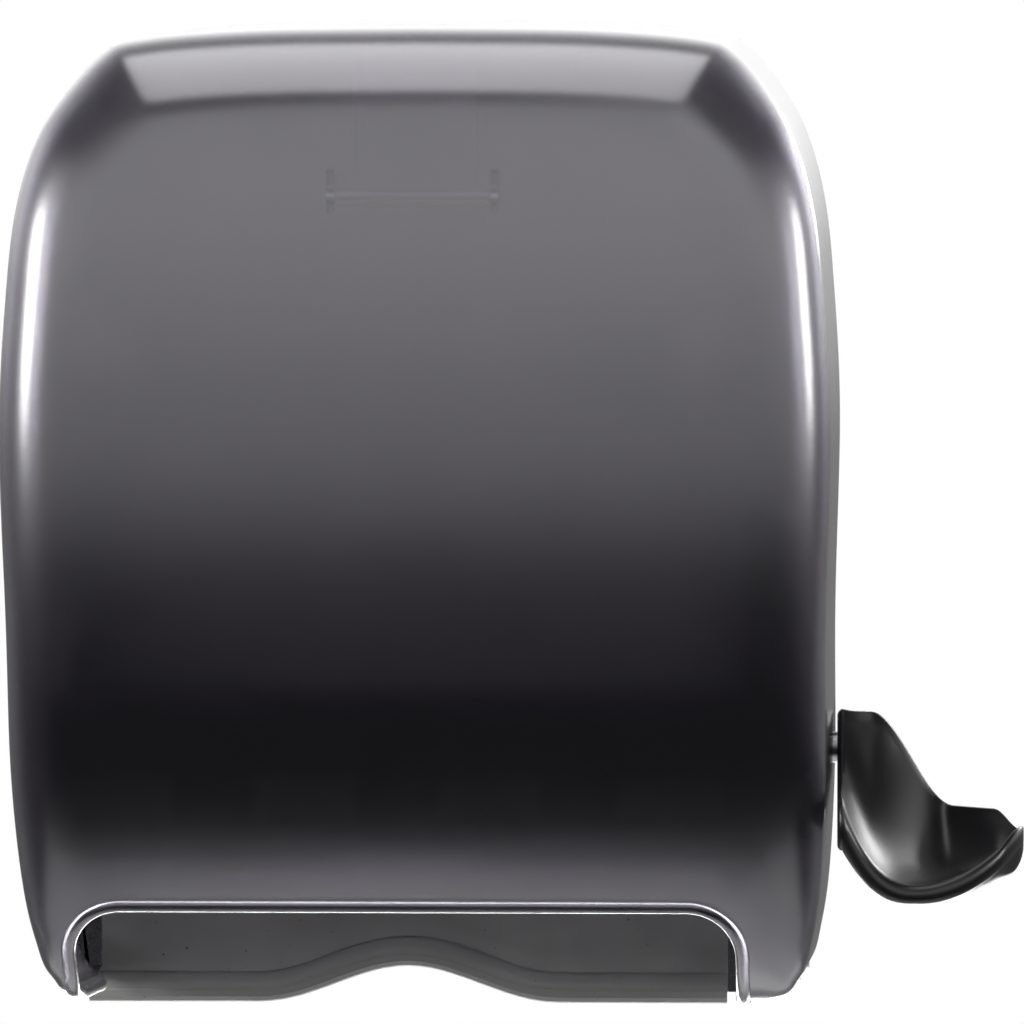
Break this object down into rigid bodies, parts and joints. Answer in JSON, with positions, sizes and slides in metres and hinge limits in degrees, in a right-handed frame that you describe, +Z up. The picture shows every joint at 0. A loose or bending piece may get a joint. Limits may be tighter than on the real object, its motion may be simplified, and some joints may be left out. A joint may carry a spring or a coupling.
{
  "type": "lever paper towel dispenser",
  "caption": "Wall-hung lever dispenser for rolled paper towels: smoked swing-down cover over a roll bay, rubber feed rollers driven by a side lever through a sector gear.",
  "frame": {"origin": "middle of the four wall screw holes, on the back face of the pan that lies on the wall", "axes": "+X to the right as one faces the dispenser, +Y into the wall, +Z up"},
  "size_m": [0.3173, 0.216, 0.324],
  "materials": {
    "pan_plastic": "light grey moulded plastic with fine black specks",
    "black_plastic": "black moulded plastic, fine matt grain",
    "smoke_plastic": "smoked translucent plastic with a satin sheen",
    "lever_plastic": "black moulded plastic, satin with a fine grain",
    "steel": "bright drawn steel",
    "spring_steel": "spring wire, dull",
    "zinc": "zinc-plated screws",
    "roller_rubber": "grey moulded rubber, matt",
    "rubber": "black rubber bumper, matt",
    "acetal": "natural acetal, slightly glossy"
  },
  "bodies": {
    "chassis": {"back_pan": "pan_plastic", "left_side_frame": "black_plastic", "right_side_frame": "black_plastic", "roller_housing": "black_plastic", "paper_guide": "black_plastic", "tear_bar": "steel", "feed_bushings": "acetal", "cradle_shaft": "steel", "pinch_springs": "spring_steel", "lever_bushings": "acetal", "lever_bearing_plate": "black_plastic", "lever_stop": "rubber", "lever_spring": "spring_steel", "left_roll_arm": "black_plastic", "roll_arm_pin": "steel", "cover_pins": "steel", "frame_screws": "zinc"},
    "feed_roller": {"feed_shaft": "steel", "feed_sleeves": "roller_rubber", "feed_clips": "spring_steel"},
    "clutch": {"clutch_pinion": "acetal", "clutch_cage": "steel"},
    "cradle": {"pinch_cradle": "black_plastic"},
    "pinch_roller": {"pinch_shaft": "steel", "pinch_sleeves": "roller_rubber"},
    "lever": {"lever": "lever_plastic", "lever_shaft": "steel", "sector_gear": "black_plastic", "lever_screw": "zinc"},
    "right_arm": {"right_roll_arm": "black_plastic"},
    "left_hub": {"left_core_hub": "black_plastic"},
    "right_hub": {"right_core_hub": "black_plastic"},
    "cover": {"cover": "smoke_plastic", "latch_pin": "steel"},
    "latch": {"latch_strap": "smoke_plastic"}
  },
  "joints": [
    {"name": "cover_swing", "type": "hinge", "parent": "chassis", "child": "cover", "pos_m": [0, -0.015, -0.188], "axis": [1, 0, 0], "range_deg": [0, 85]},
    {"name": "latch_press", "type": "hinge", "parent": "cover", "child": "latch", "pos_m": [0, -0.202, 0.062], "axis": [1, 0, 0], "range_deg": [-4, 0], "stiffness_Nm_per_rad": 1.2, "springref_deg": 6.88},
    {"name": "lever_swing", "type": "hinge", "parent": "chassis", "child": "lever", "pos_m": [0.1, -0.044, -0.116], "axis": [1, 0, 0], "range_deg": [0, 38], "stiffness_Nm_per_rad": 0.35, "springref_deg": -28.65, "deforming": ["lever_spring"]},
    {"name": "clutch_spin", "type": "hinge", "parent": "chassis", "child": "clutch", "pos_m": [0.1, -0.12234, -0.124], "axis": [1, 0, 0], "range_deg": [-228, 0]},
    {"name": "feed_spin", "type": "hinge", "parent": "chassis", "child": "feed_roller", "pos_m": [-0.008, -0.12234, -0.124], "axis": [1, 0, 0], "continuous": true},
    {"name": "cradle_flex", "type": "hinge", "parent": "chassis", "child": "cradle", "pos_m": [-0.008, -0.062, -0.102], "axis": [1, 0, 0], "range_deg": [0, 6], "stiffness_Nm_per_rad": 2, "springref_deg": -8.59, "deforming": ["pinch_springs"]},
    {"name": "pinch_spin", "type": "hinge", "parent": "cradle", "child": "pinch_roller", "pos_m": [-0.008, -0.09105, -0.13539], "axis": [1, 0, 0], "continuous": true},
    {"name": "right_arm_flex", "type": "hinge", "parent": "chassis", "child": "right_arm", "pos_m": [0.095, -0.012, 0.006], "axis": [0, 0, 1], "range_deg": [0, 8], "stiffness_Nm_per_rad": 1.5, "springref_deg": -5.73},
    {"name": "left_hub_spin", "type": "hinge", "parent": "chassis", "child": "left_hub", "pos_m": [-0.1, -0.108, 0.006], "axis": [1, 0, 0], "continuous": true},
    {"name": "right_hub_spin", "type": "hinge", "parent": "right_arm", "child": "right_hub", "pos_m": [0.08, -0.108, 0.006], "axis": [1, 0, 0], "continuous": true}
  ],
  "couplings": [
    {"joint": "clutch_spin", "follows": "lever_swing", "ratio": -6},
    {"joint": "pinch_spin", "follows": "feed_spin", "ratio": -3.125}
  ]
}
